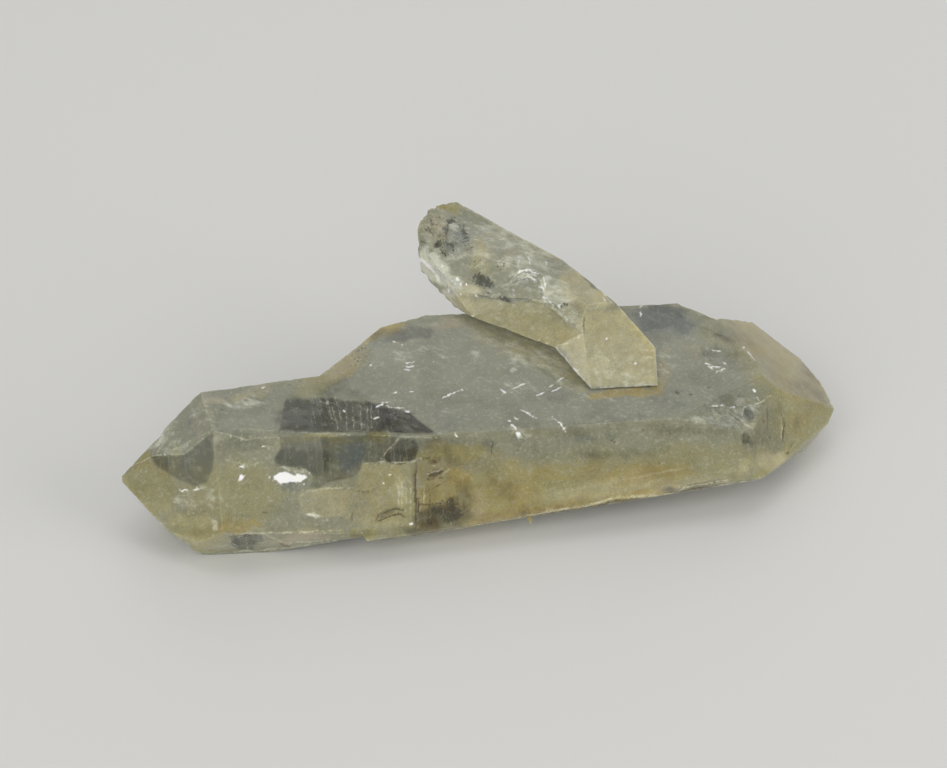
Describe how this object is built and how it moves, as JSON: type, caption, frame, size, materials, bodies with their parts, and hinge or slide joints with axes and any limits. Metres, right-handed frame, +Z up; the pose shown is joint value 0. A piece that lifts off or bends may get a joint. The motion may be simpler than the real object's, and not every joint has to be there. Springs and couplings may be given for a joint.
{
  "type": "quartz crystal cluster",
  "caption": "Quartz specimen: long doubly pointed crystals grown side by side, with a short crystal grown across their top, lying on a flat face.",
  "frame": {"origin": "middle of the group's box in plan, on the flat face that it rests on", "axes": "+X along the long crystals towards the blunt right point, +Y to the back, where the short crystal overhangs, +Z up"},
  "size_m": [0.0732, 0.0332, 0.0206],
  "materials": {
    "quartz": "cloudy grey-green to yellow quartz with clear windows, glossy crystal faces and rough broken spots"
  },
  "bodies": {
    "root": {"quartz": "quartz"}
  },
  "joints": []
}
